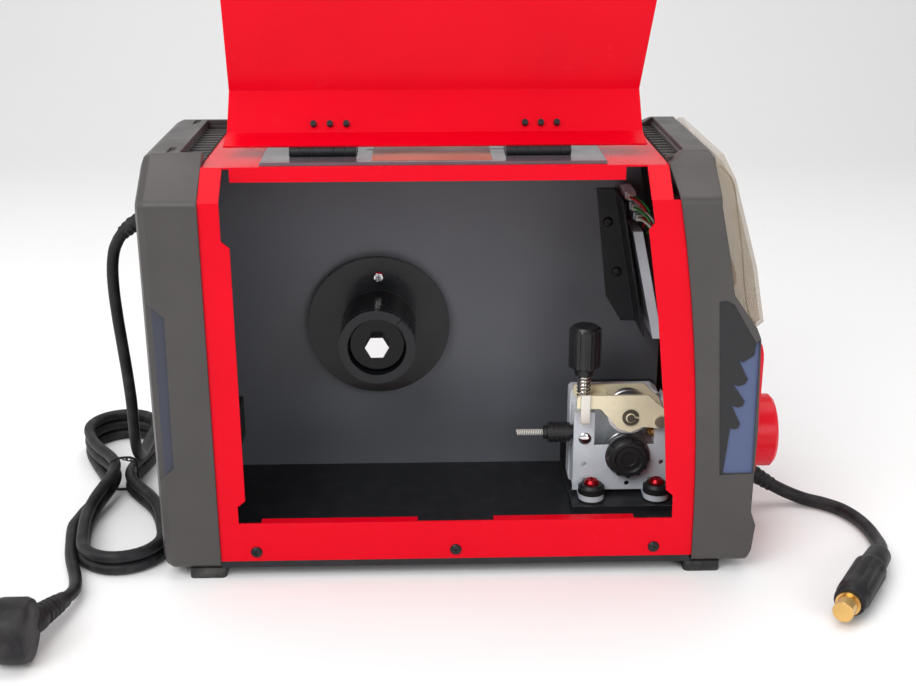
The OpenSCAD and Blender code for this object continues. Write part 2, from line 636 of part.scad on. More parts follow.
// A thin washer under each lug and a taller bush on it
module insulating_bushes() color("black") for (p = bush_places) translate([p[0], p[1], 0]) difference() {
    union() {
        translate([0, 0, 24]) cylinder(r = 9, h = lug_z - 24);
        translate([0, 0, lug_z + lug_h]) cylinder(r = 9, h = 4);
        translate([0, 0, lug_z + lug_h + 4]) cylinder(r1 = 8.4, r2 = 7, h = 2);
    }
    translate([0, 0, 20]) cylinder(r = 2.5, h = 20);
}

module feeder_bracket() color([0.1, 0.1, 0.1]) difference() {
    union() {
        block(70, 142, -44, divider_y - 0.2, floor_z, floor_z + 2);
        block(70, 142, -44, -20, floor_z + 2, 24);
        block(70, 142, divider_y - 2, divider_y - 0.2, floor_z + 2, 36);
    }
    for (p = bush_places) translate([p[0], p[1], floor_z - 1]) cylinder(r = 2.5, h = 8);
}

module feed_motor() color([0.25, 0.25, 0.27]) {
    difference() {
        block(86, 134, 9, 37, 32, 84);
        cyl_y(5.1, 8, 26, roller_x, wire_z - 15);
    }
    cyl_y(15.6, 37, 44, roller_x, 58);
    cyl_y(21, 44, 84, roller_x, 58);
    cyl_y(5, 84, 87.5, roller_x, 58);
}

// ---- bay behind the front frame ----

module bay_cover() color([0.1, 0.1, 0.1]) {
    difference() {
        along_y(divider_y - sheet, divider_y - 0.05) polygon([
            [90, 222], [103, 222], [121, 128], [110, 128], [99, 146]
        ]);
        for (p = [[98.5, 198.8], [105.9, 163.6]]) cyl_y(1.75, divider_y - 3, divider_y + 1, p[0], p[1]);
    }
    along_y(2, divider_y - sheet) polygon([[102, 222], [103.2, 222], [121.2, 128], [120, 128]]);
}

module terminal_block() color([0.3, 0.3, 0.32]) {
    along_y(6, divider_y - 0.1) polygon([[111, 200], [117.5, 200], [134, 125], [127.5, 125]]);
    for (i = [0:2]) block(106 + i * 3, 113 + i * 3, 14, divider_y - 0.1, 220 - i * 7, 225 - i * 7);
}

// ---- front panel fittings ----

module torch_socket() color([0.72, 0.56, 0.25]) difference() {
    union() {
        cyl_x(19.9, 160, 200, wire_y, wire_z);
        cyl_x(23, 160, 170.2, wire_y, wire_z);
    }
    cyl_x(11, 172, 201, wire_y, wire_z);
    cyl_x(4.6, 150, 175, wire_y, wire_z);
    for (s = [-1, 1]) cyl_x(2, 180, 201, wire_y + s * 15.3, wire_z);
}

module output_sockets() color([0.1, 0.1, 0.1]) for (p = socket_places) difference() {
    union() {
        cyl_x(11.9, 165, 190, p[0], p[1]);
        cyl_x(13.6, 160, 170.2, p[0], p[1]);
    }
    cyl_x(6.6, 166, 191, p[0], p[1]);
}

module collar_ring(r0, r1, x1, y, z) difference() {
    translate([187.1, y, z]) rotate([0, 90, 0]) rotate_extrude($fn = 64) polygon([
        [r0, 0], [r1, 0], [r1, x1 - 189.1], [r1 - 2, x1 - 187.1], [r0 + 1.5, x1 - 187.1], [r0, x1 - 188.6]
    ]);
}

module red_collars() color([0.85, 0.02, 0.09]) {
    collar_ring(20, collar_r, 206.5, wire_y, wire_z);
    for (p = socket_places) collar_ring(12, 14.6, 194, p[0], p[1]);
}

module on_panel() translate([panel_x, 0, panel_z]) rotate([0, -panel_tilt, 0]) children();

knob_places = [[-46, 20], [46, 20]];
button_place = [0, 22];

module control_panel() color([0.05, 0.05, 0.06]) on_panel() difference() {
    block(-7.4, -5.2, -70, 70, 1, panel_len);
    for (p = knob_places) translate([-9, p[0], p[1]]) rotate([0, 90, 0]) cylinder(r = 3.1, h = 6);
    translate([-9, button_place[0], button_place[1]]) rotate([0, 90, 0]) cylinder(r = 4.4, h = 6);
}

module dial_knob(p, r) on_panel() translate([-5, p[0], p[1]]) rotate([0, 90, 0]) difference() {
    union() {
        rotate_extrude() polygon([[0, 0], [r, 0], [r, 2], [r - 1.2, 3], [r - 2, 16], [r - 3, 17], [0, 17]]);
        translate([0, 0, -5]) cylinder(r = 3, h = 6);
    }
    translate([-r + 2.5, 0, 16.6]) cube([5, 1.4, 2], center = true);
}

module voltage_knob() color([0.45, 0.03, 0.1]) dial_knob(knob_places[0], 12);
module speed_knob() color([0.45, 0.03, 0.1]) dial_knob(knob_places[1], 12);
module gas_button() color([0.7, 0.05, 0.05]) on_panel()
    translate([-8.5, button_place[0], button_place[1]]) rotate([0, 90, 0]) cylinder(r = 4, h = 6.5);

// Side view of the visor
visor_outline = [
    [147.2, visor_pin_z], [visor_pin_x, visor_pin_z + 2], [151.5, visor_pin_z + 2], [160, 250], [176.5, 196],
    [183.5, 160], [176.2, 153.5], [176, 160], [158.6, 186.4], [153.4, 213.4], [147.4, 240.2]
];

module clear_visor() color([0.85, 0.8, 0.7, 0.4]) difference() {
    union() {
        difference() {
            along_y(-64, 64) polygon(visor_outline);
            along_y(-62, 62) polygon([
                [140, 260.5], [151.5, 260.5], [158, 249.4], [174.5, 195.5],
                [181.4, 160.6], [176, 156], [168, 160], [140, 186]
            ]);
        }
        cyl_y(2, -64, 64, visor_pin_x, visor_pin_z);
    }
}

// ---- cords ----

// Directions along a route, and a frame of two normals at each point
function route_dir(p, i) = unit(p[min(i + 1, len(p) - 1)] - p[max(i - 1, 0)]);
function side_of(d) = unit(abs(d[2]) > 0.9 ? cross(d, [0, 1, 0]) : cross(d, [0, 0, 1]));
function carried(p, i) = i == 0 ? side_of(route_dir(p, 0)) :
    let (d = route_dir(p, i), v = carried(p, i - 1)) unit(v - (v * d) * d);

module swept(p, r, sides = 10) {
    n = len(p);
    rings = [for (i = [0:n - 1]) let (d = route_dir(p, i), u = carried(p, i), w = cross(d, u))
        for (k = [0:sides - 1]) p[i] + r * (cos(360 * k / sides) * u + sin(360 * k / sides) * w)];
    walls = [for (i = [0:n - 2], k = [0:sides - 1])
        [i * sides + k, i * sides + (k + 1) % sides, (i + 1) * sides + (k + 1) % sides, (i + 1) * sides + k]];
    caps = [[for (k = [sides - 1:-1:0]) k], [for (k = [0:sides - 1]) (n - 1) * sides + k]];
    polyhedron(points = rings, faces = [for (f = concat(walls, caps)) [for (k = [len(f) - 1:-1:0]) f[k]]]);
}

module polarity_lead() color("black") swept(lead_route, lead_d / 2);

module mains_cord() color("black") {
    swept(mains_drop, mains_d / 2);
    swept(mains_tail, mains_d / 2);
}

// Outline of the hank: a long loop with round ends
function hank_outline() =
    let (d = unit(hank_far - hank_near), a = atan2(d[1], d[0]))
    concat(
        [for (i = [0:8]) hank_far + hank_r * [cos(a - 90 + i * 22.5), sin(a - 90 + i * 22.5)]],
        [for (i = [0:8]) hank_near + hank_r * [cos(a + 90 + i * 22.5), sin(a + 90 + i * 22.5)]]
    );

module mains_hank() color("black") linear_extrude(hank_h) polygon(hank_outline());

// Points a child's +Z along the lead plug, from the lead's end
module along_plug() translate([264, -90, 11]) rotate([0, 0, atan2(plug_dir[1], plug_dir[0])])
    rotate([0, 90, 0]) children();

module polarity_plug() color("black") along_plug() difference() {
    rotate_extrude() polygon([
        [0, 0], [6.4, 0], [8, 3], [8.6, 20], [10.6, 26], [10.8, 62], [9.8, 66], [9.8, 72], [0, 72]
    ]);
    for (a = [0:40:320]) rotate(a) translate([10.9, 0, 28]) cylinder(r = 1.2, h = 28, $fn = 16);
}

module polarity_pin() color([0.8, 0.62, 0.28]) along_plug() {
    translate([0, 0, 72]) cylinder(r = 7.6, h = 2.6);
    translate([0, 0, 74.6]) cylinder(r = 6.3, h = 10.4);
    translate([4.4, -1.6, 77]) cube([3, 3.2, 5]);
}

module mains_plug() color("black") {
    cyl_x(19, -273, -251, -180, 19);
    cyl_x(16.5, -276, -273, -180, 19);
    for (s = [-1, 1]) cyl_x(2.4, -295, -276, -180, 19 + s * 9.5);
    translate([-258, -166, 15]) rotate([-98, 0, -17]) {
        translate([0, 0, -3]) cylinder(r = 8.5, h = 13);
        translate([0, 0, 10]) cylinder(r1 = 7.4, r2 = 5.2, h = 28);
    }
}

module cable_glands() color([0.08, 0.08, 0.08]) {
    difference() {
        union() {
            cyl_x(7, rear_x - 2, rear_x + 12, 28, 206);
            cyl_x(11, rear_x - 1, rear_x + 5, 28, 206, $fn = 6);
            cyl_x(8.4, -206.4, rear_x - 1, 28, 206);
        }
        cyl_x(mains_d / 2, -210, rear_x + 13, 28, 206);
    }
    difference() {
        union() {
            cyl_x(7, 166, 176, 3, 34);
            cyl_x(9.4, 172.2, 187, 3, 34);
        }
        cyl_x(lead_d / 2, 160, 187.1, 3, 34);
    }
}

// ---- rear fittings and inner parts ----

module power_switch() color([0.12, 0.12, 0.12]) translate([rear_x + 4.4, -30, 205]) {
    rotate([0, -8, 0]) translate([-3.4, -10, -13]) cube([6, 20, 26]);
    cyl_y(2, -10.8, 10.8, 0, 0);
}

module gas_valve() color([0.78, 0.6, 0.28]) {
    difference() {
        union() {
            cyl_x(6, rear_x + 5, rear_x + 14, 28, 60);
            cyl_x(3.6, rear_x - 11, rear_x + 5, 28, 60);
            for (i = [0:2]) cyl_x(4.4, rear_x - 9 + i * 3.6, rear_x - 7.4 + i * 3.6, 28, 60);
        }
        cyl_x(2.4, rear_x - 12, rear_x + 20, 28, 60);
    }
    difference() {
        block(rear_x + 14, rear_x + 38, 16, 37, 46, 74);
        cyl_x(2.4, rear_x + 10, rear_x + 40, 28, 60);
    }
}

module fan_frame() color([0.1, 0.1, 0.1]) difference() {
    block(rear_x + 7, rear_x + 22, 41, 86, fan_z - 22.5, fan_z + 22.5);
    cyl_x(21, rear_x + 6, rear_x + 20.5, fan_y, fan_z);
    for (a = [45:90:315]) translate([0, fan_y, fan_z]) rotate([a, 0, 0])
        block(rear_x + 20, rear_x + 23, 10, 19, -6, 6);
    cyl_x(2.1, rear_x + 6, rear_x + 23, fan_y, fan_z);
}

module fan_rotor() color([0.14, 0.14, 0.15]) {
    cyl_x(9, rear_x + 9, rear_x + 20, fan_y, fan_z);
    cyl_x(2.05, rear_x + 20, rear_x + 22, fan_y, fan_z);
    for (a = [0:360 / 7:359]) translate([0, fan_y, fan_z]) rotate([a, 0, 0]) translate([rear_x + 14, 14, 0])
        rotate([0, 32, 0]) cube([12, 11.6, 1.6], center = true);
}

module power_board() color([0.1, 0.35, 0.18]) {
    block(-140, 70, 84, 85.6, 112, 236);
    // heatsink with fins
    block(-130, -30, 80, 84, 190, 230);
    for (i = [0:8]) block(-130 + i * 12, -127.5 + i * 12, 54, 80, 190, 230);
    for (i = [0:3]) cyl_y(11, 52, 84, -8 + i * 24, 205);
    for (i = [0:2]) block(-120 + i * 44, -92 + i * 44, 66, 84, 150, 174);
}

module transformer() color([0.2, 0.2, 0.21]) {
    for (x = [-130, -60]) {
        difference() {
            block(x, x + 58, 46, 82, 14, 84);
            block(x + 12, x + 46, 45, 83, 26, 72);
        }
        block(x + 12.2, x + 45.8, 44, 84, 30, 68);
    }
    block(-132, 0, 44, 86, 8.8, 14);
}

base_pan();
side_frame();
top_cover();
far_side_panel();
divider_plate();
compartment_floor();
rear_bezel();
front_bezel();
rear_panel();
front_panel();
feet();
frame_screws();
hinge_console();
hinge_base_leaves();
hinge_lid_leaves();
lid();
lid_latch();
spool_hub();
spool_axle();
brake_spring();
brake_bolt();
flange_screw();
feeder_body();
pressure_arm();
pressure_roller();
roller_pin();
drive_roller();
drive_roller_cap();
inlet_guide();
outlet_guide();
tension_knob();
tension_stud();
tension_spring();
feeder_fasteners();
insulating_bushes();
feeder_bracket();
feed_motor();
bay_cover();
terminal_block();
torch_socket();
output_sockets();
red_collars();
control_panel();
voltage_knob();
speed_knob();
gas_button();
clear_visor();
polarity_lead();
polarity_plug();
polarity_pin();
mains_cord();
mains_hank();
mains_plug();
cable_glands();
power_switch();
gas_valve();
fan_frame();
fan_rotor();
power_board();
transformer();
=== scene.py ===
"""Compact MIG welding machine with its wire compartment open: finishes, cords, small parts, floor and light.

Lengths are metres in the part's own frame: +X front, -Y the open compartment, +Z up.
"""

import math

import bmesh
import bpy
from mathutils import Matrix, Vector


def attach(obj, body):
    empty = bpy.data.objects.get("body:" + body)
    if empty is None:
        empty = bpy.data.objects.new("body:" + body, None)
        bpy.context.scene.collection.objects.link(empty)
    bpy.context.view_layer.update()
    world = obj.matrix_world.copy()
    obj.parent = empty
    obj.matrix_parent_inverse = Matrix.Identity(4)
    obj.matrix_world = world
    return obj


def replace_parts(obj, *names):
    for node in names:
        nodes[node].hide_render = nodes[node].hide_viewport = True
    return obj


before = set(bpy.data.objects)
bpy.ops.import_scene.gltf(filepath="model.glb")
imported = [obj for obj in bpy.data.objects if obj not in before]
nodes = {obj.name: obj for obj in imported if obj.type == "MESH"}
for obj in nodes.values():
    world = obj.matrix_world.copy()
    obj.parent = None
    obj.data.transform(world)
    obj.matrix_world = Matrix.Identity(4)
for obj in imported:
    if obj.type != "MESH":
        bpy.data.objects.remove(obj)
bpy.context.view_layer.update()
MM = 0.001


# ---- camera ----

CAMERA_AT = (-0.02737, -0.83548, 0.41941)
CAMERA_PITCH = 19.678     # degrees below level
CAMERA_YAW = 1.5285       # degrees from +Y towards +X
CAMERA_ROLL = -0.1        # degrees
LENS = 51.72              # focal length in millimetres, on a sensor SENSOR wide
SENSOR = 36


def add_camera():
    """Looks at the compartment from in front and above."""
    pitch = math.radians(CAMERA_PITCH)
    yaw = math.radians(CAMERA_YAW)
    roll = math.radians(CAMERA_ROLL)
    forward = Vector((math.sin(yaw) * math.cos(pitch), math.cos(yaw) * math.cos(pitch), -math.sin(pitch)))
    level = Vector((math.cos(yaw), -math.sin(yaw), 0))
    upward = level.cross(forward)
    right = math.cos(roll) * level + math.sin(roll) * upward
    up = right.cross(forward)
    data = bpy.data.cameras.new("camera")
    data.sensor_width = SENSOR
    data.lens = LENS
    camera = bpy.data.objects.new("camera", data)
    turn = Matrix((right, up, -forward)).transposed().to_4x4()
    camera.matrix_world = Matrix.Translation(CAMERA_AT) @ turn
    bpy.context.collection.objects.link(camera)
    bpy.context.scene.camera = camera


# ---- node helpers ----

class Finish:
    """A material being built: a few shorthands over its node tree."""

    def __init__(self, name):
        self.material = bpy.data.materials.new(name)
        self.material.use_nodes = True
        self.tree = self.material.node_tree
        self.shader = self.tree.nodes["Principled BSDF"]
        self.place = self.tree.nodes.new("ShaderNodeTexCoord").outputs["Object"]

    def node(self, kind, inputs=(), **settings):
        """A shader node with its settings and its inputs, which are values or other nodes' sockets."""
        made = self.tree.nodes.new("ShaderNode" + kind)
        for key, value in settings.items():
            setattr(made, key, value)
        for key, value in dict(inputs).items():
            self.feed(made.inputs[key], value)
        return made

    def feed(self, socket, value):
        if isinstance(value, bpy.types.NodeSocket):
            self.tree.links.new(value, socket)
        else:
            socket.default_value = value

    def math(self, how, a, b):
        return self.node("Math", {0: a, 1: b}, operation=how).outputs[0]

    def noise(self, scale, detail=3.0, stretch=None, rough=0.55):
        where = self.place
        if stretch:
            where = self.node("Mapping", {"Vector": where, "Scale": stretch}).outputs[0]
        found = self.node("TexNoise", {"Vector": where, "Scale": scale, "Detail": detail, "Roughness": rough})
        return found.outputs["Fac"]

    def span(self, value, low, high, to_low, to_high):
        """Maps a value from the range low to high onto the range to_low to to_high."""
        inputs = {"Value": value, "From Min": low, "From Max": high, "To Min": to_low, "To Max": to_high}
        return self.node("MapRange", inputs).outputs[0]

    def mix(self, amount, a, b):
        made = self.node("Mix", data_type="RGBA")
        self.feed(made.inputs[0], amount)
        self.feed(made.inputs[6], a)
        self.feed(made.inputs[7], b)
        return made.outputs[2]

    def zone(self, **limits):
        """1 inside a box given as x=(low, high) in millimetres, and so on, 0 outside."""
        parts = self.node("SeparateXYZ", {0: self.place}).outputs
        inside = None
        for axis, (low, high) in limits.items():
            value = parts["xyz".index(axis)]
            above = self.math("GREATER_THAN", value, low * MM)
            below = self.math("LESS_THAN", value, high * MM)
            both = self.math("MULTIPLY", above, below)
            inside = both if inside is None else self.math("MULTIPLY", inside, both)
        return inside


DUST = (0.42, 0.4, 0.38, 1.0)
COAT_ROUGHNESS = 0.06
RUBBED_PATCHES = 160.0    # noise scale of the patches where an edge is rubbed


def rgb(color, gain=1.0):
    """A colour with its alpha, made lighter or darker by a gain."""
    return (*[min(1.0, c * gain) for c in color], 1.0)


def surface(name, color, rough, metal=0.0, vary=0.1, blotch=30.0, grain=1500.0, bump=0.02, stretch=None,
            worn=None, worn_share=0.5, edge=0.5, coat=0.0, rough_vary=0.06, zones=(), dust=0.0, shine=0.4):
    """A finish with blotches, grain, softened edges and, where worn is given, edges rubbed to that colour.

    bump and edge are millimetres; blotch and grain are noise scales per metre; zones are (colour, limits)
    pairs that repaint boxes of the surface.
    """
    f = Finish(name)
    blotches = f.noise(blotch, 4.0)
    fine = f.noise(grain, 2.0, stretch)
    tone = f.mix(f.span(blotches, 0.3, 0.7, 0.0, 1.0), rgb(color, 1 - vary), rgb(color, 1 + vary))
    for other, limits in zones:
        tone = f.mix(f.zone(**limits), tone, rgb(other))
    rounded = f.node("Bevel", {"Radius": edge * MM}, samples=4)
    if dust:
        settled = f.span(f.noise(blotch * 3, 6.0), 0.45, 0.75, 0.0, dust)
        tone = f.mix(settled, tone, DUST)
    if worn:
        flat = f.node("NewGeometry").outputs["Normal"]
        agree = f.node("VectorMath", {0: rounded.outputs[0], 1: flat}, operation="DOT_PRODUCT")
        corners = f.span(agree.outputs["Value"], 0.99, 0.86, 0.0, 1.0)
        patches = f.span(f.noise(RUBBED_PATCHES), 0.4, 0.65, 0.0, 1.0)
        rubbed = f.math("MULTIPLY", corners, patches)
        tone = f.mix(f.math("MULTIPLY", rubbed, worn_share), tone, rgb(worn))
    f.feed(f.shader.inputs["Base Color"], tone)
    low, high = max(0.03, rough - rough_vary), min(1.0, rough + rough_vary)
    f.feed(f.shader.inputs["Roughness"], f.span(f.noise(blotch * 2.3, 5.0), 0.3, 0.7, low, high))
    f.shader.inputs["Metallic"].default_value = metal
    f.shader.inputs["Coat Weight"].default_value = coat
    f.shader.inputs["Coat Roughness"].default_value = COAT_ROUGHNESS
    f.shader.inputs["Specular IOR Level"].default_value = shine
    relief = {"Height": fine, "Distance": bump * MM, "Strength": 1.0, "Normal": rounded.outputs[0]}
    f.feed(f.shader.inputs["Normal"], f.node("Bump", relief).outputs[0])
    return f.material


def clear_plastic(name, color, alpha):
    """See-through smoked plastic with faint flow marks and a soft haze."""
    f = Finish(name)
    marks = f.noise(18.0, 3.0, (1, 1, 4))
    f.feed(f.shader.inputs["Base Color"], f.mix(marks, rgb(color, 0.93), rgb(color, 1.06)))
    f.feed(f.shader.inputs["Roughness"], f.span(f.noise(60.0), 0.3, 0.7, 0.08, 0.2))
    f.feed(f.shader.inputs["Normal"], f.node("Bump", {"Height": marks, "Distance": 0.0002}).outputs[0])
    f.shader.inputs["Alpha"].default_value = alpha
    f.shader.inputs["Coat Weight"].default_value = 0.6
    return f.material


def glow(name, color, strength):
    """A lit display segment, a little uneven."""
    f = Finish(name)
    f.feed(f.shader.inputs["Base Color"], f.mix(f.noise(300.0), rgb(color, 0.8), rgb(color)))
    f.shader.inputs["Emission Color"].default_value = rgb(color)
    f.shader.inputs["Emission Strength"].default_value = strength
    return f.material


RED = (0.7, 0.0005, 0.012)
BARE = (0.45, 0.45, 0.46)
BRASS = (0.72, 0.46, 0.16)
# Painted light: the recess floors painted a lit blue-grey, lighter than the bezel's charcoal
PAINTED_LIT_RECESS_FLOOR = (0.075, 0.1, 0.2)
# Painted shade: the recess steps painted near black, as if in shadow
PAINTED_SHADE_RECESS_STEP = (0.012, 0.012, 0.014)

# The strip in the rear bezel's side, then the floor and the step of the front bezel's two side recesses:
# painted light on the floors, a lit blue-grey, and painted shade on the steps, near black as if in shadow
BEZEL_STRIP_AND_PAINTED_LIGHT_ZONES = [
    ((0.036, 0.042, 0.062), {"x": (-189, -182), "y": (-91.9, -80), "z": (66, 188)}),
    (PAINTED_LIT_RECESS_FLOOR, {"x": (153, 178), "z": (68.5, 160), "y": (-90.6, -89.9)}),
    (PAINTED_LIT_RECESS_FLOOR, {"x": (153, 178), "z": (68.5, 160), "y": (89.9, 90.6)}),
    (PAINTED_SHADE_RECESS_STEP, {"x": (147, 178), "z": (67, 184), "y": (-91.5, -91.1)}),
    (PAINTED_SHADE_RECESS_STEP, {"x": (147, 178), "z": (67, 184), "y": (91.1, 91.5)}),
]
# The power board's heatsink, its capacitors and the blocks under the heatsink
BOARD_ZONES = [
    ((0.5, 0.5, 0.52), {"x": (-131, -29), "z": (189, 231), "y": (50, 84.1)}),
    ((0.03, 0.04, 0.12), {"x": (-20, 80), "z": (190, 220), "y": (50, 84.1)}),
    ((0.02, 0.02, 0.02), {"x": (-121, 0), "z": (149, 175), "y": (60, 84.1)}),
]
# The brake bolt's washer, the valve's barb, and the heads of the screws that hold the feeder's lugs
WASHER_ZONE = [((0.02, 0.02, 0.02), {"y": (-8.78, -6)})]
BARB_ZONE = [(BRASS, {"x": (-240, -188)})]
LUG_SCREW_ZONE = [((0.42, 0.01, 0.02), {"y": (-40, -26), "z": (35.3, 42)})]

M = {
    "red_paint": surface("red_paint", RED, 0.24, vary=0.04, grain=420.0, bump=0.012, coat=0.02, shine=0.1,
                         rough_vary=0.05, worn=(0.8, 0.06, 0.07), worn_share=0.3, edge=0.7, blotch=14.0),
    "red_plastic": surface("red_plastic", (0.75, 0.004, 0.02), 0.3, vary=0.06, grain=2200.0, bump=0.015,
                           shine=0.25, worn=(0.85, 0.14, 0.12), worn_share=0.35),
    "charcoal_plastic": surface("charcoal_plastic", (0.056, 0.051, 0.05), 0.42, vary=0.1, grain=2600.0,
                                bump=0.03, worn=(0.1, 0.1, 0.115), worn_share=0.5, edge=1.2, blotch=22.0,
                                zones=BEZEL_STRIP_AND_PAINTED_LIGHT_ZONES),
    "black_sheet": surface("black_sheet", (0.013, 0.014, 0.017), 0.4, vary=0.15, grain=900.0, bump=0.03,
                           worn=BARE, worn_share=0.25, dust=0.02, rough_vary=0.04, shine=0.3),
    "divider": surface("divider", (0.095, 0.102, 0.118), 0.45, vary=0.08, grain=900.0, bump=0.04,
                       worn=BARE, worn_share=0.3, dust=0.03, blotch=6.0, rough_vary=0.04),
    "console": surface("console", (0.1, 0.095, 0.11), 0.2, vary=0.15, grain=1800.0, bump=0.01, coat=0.15,
                       worn=(0.2, 0.18, 0.18)),
    "rubber": surface("rubber", (0.02, 0.02, 0.02), 0.75, vary=0.2, grain=3000.0, bump=0.05, dust=0.15),
    "cord": surface("cord", (0.011, 0.01, 0.012), 0.5, shine=0.25, vary=0.15, grain=2400.0, bump=0.03,
                    edge=0.2, dust=0.06),
    "black_screw": surface("black_screw", (0.02, 0.02, 0.022), 0.33, metal=0.6, grain=2600.0, bump=0.02,
                           worn=(0.4, 0.4, 0.4), edge=0.3),
    "black_plastic": surface("black_plastic", (0.018, 0.018, 0.02), 0.36, vary=0.15, grain=2600.0, bump=0.02,
                             worn=(0.12, 0.12, 0.12), edge=0.4),
    "hub_plastic": surface("hub_plastic", (0.008, 0.009, 0.011), 0.24, vary=0.15, grain=1800.0, bump=0.012,
                           coat=0.12, shine=0.25, worn=(0.1, 0.1, 0.1), edge=0.5),
    "steel": surface("steel", (0.6, 0.6, 0.61), 0.3, metal=1.0, vary=0.1, grain=1400.0, bump=0.015,
                     stretch=(1, 0.08, 1), edge=0.3, dust=0.05),
    "circlip": surface("circlip", (0.1, 0.09, 0.07), 0.35, metal=0.8, grain=1600.0, bump=0.01, edge=0.2),
    "lead_black": surface("lead_black", (0.01, 0.01, 0.011), 0.6, grain=2000.0, bump=0.02, edge=0.1),
    "bright_plate": surface("bright_plate", (0.85, 0.83, 0.76), 0.3, metal=0.3, vary=0.06, grain=1600.0,
                            bump=0.01, stretch=(1, 1, 0.1), edge=0.3),
    "chrome": surface("chrome", (0.78, 0.78, 0.8), 0.12, metal=1.0, vary=0.05, grain=900.0, bump=0.004,
                      edge=0.35),
    "bolt": surface("bolt", (0.72, 0.72, 0.73), 0.16, metal=1.0, vary=0.08, grain=900.0, bump=0.01, edge=0.4,
                    zones=WASHER_ZONE),
    "die_cast": surface("die_cast", (0.72, 0.77, 0.83), 0.42, metal=0.15, vary=0.12, grain=1300.0, bump=0.07,
                        worn=(0.7, 0.7, 0.7), edge=0.6, dust=0.08),
    "zinc": surface("zinc", (0.92, 0.84, 0.6), 0.32, metal=0.12, vary=0.08, blotch=60.0, grain=1600.0,
                    bump=0.02, worn=(0.85, 0.8, 0.7), edge=0.4),
    "brass": surface("brass", BRASS, 0.26, metal=1.0, vary=0.12, blotch=70.0, grain=1500.0,
                     bump=0.012, stretch=(0.1, 1, 1), worn=(0.9, 0.75, 0.45), edge=0.4),
    "valve": surface("valve", (0.02, 0.02, 0.022), 0.4, metal=0.4, vary=0.12, grain=1500.0, bump=0.02,
                     zones=BARB_ZONE),
    "motor": surface("motor", (0.06, 0.06, 0.066), 0.4, metal=0.6, vary=0.15, grain=1200.0, bump=0.03),
    "knob_red": surface("knob_red", (0.16, 0.006, 0.025), 0.28, vary=0.1, grain=2400.0, bump=0.012, coat=0.3,
                        worn=(0.4, 0.1, 0.1)),
    "panel_black": surface("panel_black", (0.012, 0.012, 0.014), 0.25, vary=0.1, grain=2600.0, bump=0.01,
                           coat=0.2),
    "fasteners": surface("fasteners", (0.6, 0.55, 0.42), 0.3, metal=0.8, grain=1600.0, bump=0.01, edge=0.3,
                         zones=LUG_SCREW_ZONE),
    "bush": surface("bush", (0.012, 0.012, 0.012), 0.5, vary=0.1, grain=2600.0, bump=0.02),
    "board": surface("board", (0.02, 0.12, 0.05), 0.4, vary=0.2, grain=700.0, bump=0.03, blotch=60.0,
                     zones=BOARD_ZONES),
    "winding": surface("winding", (0.1, 0.07, 0.05), 0.45, vary=0.2, grain=1200.0, bump=0.12,
                       stretch=(0.1, 0.1, 6), blotch=50.0),
    "visor": clear_plastic("visor", (0.4, 0.3, 0.18), 0.42),
    "white_plastic": surface("white_plastic", (0.68, 0.66, 0.6), 0.4, vary=0.06, grain=2200.0, bump=0.015),
    "wire_red": surface("wire_red", (0.5, 0.01, 0.015), 0.4, vary=0.1, grain=2200.0, bump=0.01, edge=0.1),
    "wire_green": surface("wire_green", (0.05, 0.3, 0.06), 0.4, vary=0.1, grain=2200.0, bump=0.01, edge=0.1),
    "wire_white": surface("wire_white", (0.62, 0.6, 0.55), 0.4, vary=0.08, grain=2200.0, bump=0.01, edge=0.1),
    "console_plate": surface("console_plate", (0.42, 0.17, 0.13), 0.4, vary=0.1, grain=1500.0, bump=0.01,
                             shine=0.2, blotch=20.0),
    "display_glass": surface("display_glass", (0.02, 0.004, 0.006), 0.1, vary=0.1, grain=800.0, bump=0.002,
                             coat=0.8),
    "segments": glow("segments", (0.9, 0.04, 0.02), 1.6),
    "print": surface("print", (0.6, 0.6, 0.6), 0.5, vary=0.08, grain=2000.0, bump=0.003, edge=0.1),
}

# The CAD nodes that wear each finish
WEARS = {
    "red_paint": ["side_frame", "top_cover", "far_side_panel", "lid"],
    "red_plastic": ["red_collars", "front_panel", "gas_button"],
    "charcoal_plastic": ["rear_bezel", "front_bezel"],
    "black_sheet": ["base_pan", "compartment_floor", "rear_panel", "hinge_base_leaves", "hinge_lid_leaves",
                    "feeder_bracket", "bay_cover"],
    "divider": ["divider_plate"],
    "console": ["hinge_console"],
    "rubber": ["feet"],
    "cord": ["polarity_lead", "mains_cord", "mains_hank", "mains_plug"],
    "black_screw": ["frame_screws"],
    "black_plastic": ["lid_latch", "drive_roller_cap", "inlet_guide", "tension_knob", "cable_glands",
                      "power_switch", "fan_frame", "fan_rotor", "output_sockets", "polarity_plug"],
    "panel_black": ["control_panel"],
    "hub_plastic": ["spool_hub"],
    "circlip": ["roller_pin"],
    "steel": ["spool_axle", "brake_spring", "pressure_roller", "tension_spring", "drive_roller"],
    "chrome": ["flange_screw"],
    "bolt": ["brake_bolt"],
    "die_cast": ["feeder_body", "terminal_block"],
    "zinc": ["pressure_arm", "tension_stud"],
    "brass": ["outlet_guide", "torch_socket", "polarity_pin"],
    "valve": ["gas_valve"],
    "fasteners": ["feeder_fasteners"],
    "bush": ["insulating_bushes"],
    "motor": ["feed_motor"],
    "knob_red": ["voltage_knob", "speed_knob"],
    "visor": ["clear_visor"],
    "board": ["power_board"],
    "winding": ["transformer"],
}


def dress_nodes():
    """Gives every CAD node its finish."""
    for finish, names in WEARS.items():
        for name in names:
            for place in nodes[name].material_slots:
                place.material = M[finish]


# ---- mesh helpers ----

def piece(name, mesh, finish, body="machine", smooth=40):
    """Links a mesh as a piece on a body, shaded smooth where its faces meet at less than smooth degrees."""
    made = bpy.data.objects.new(name, mesh)
    bpy.context.collection.objects.link(made)
    mesh.materials.append(M[finish])
    for face in mesh.polygons:
        face.use_smooth = True
    mesh.set_sharp_from_angle(angle=math.radians(smooth))
    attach(made, body)
    return made


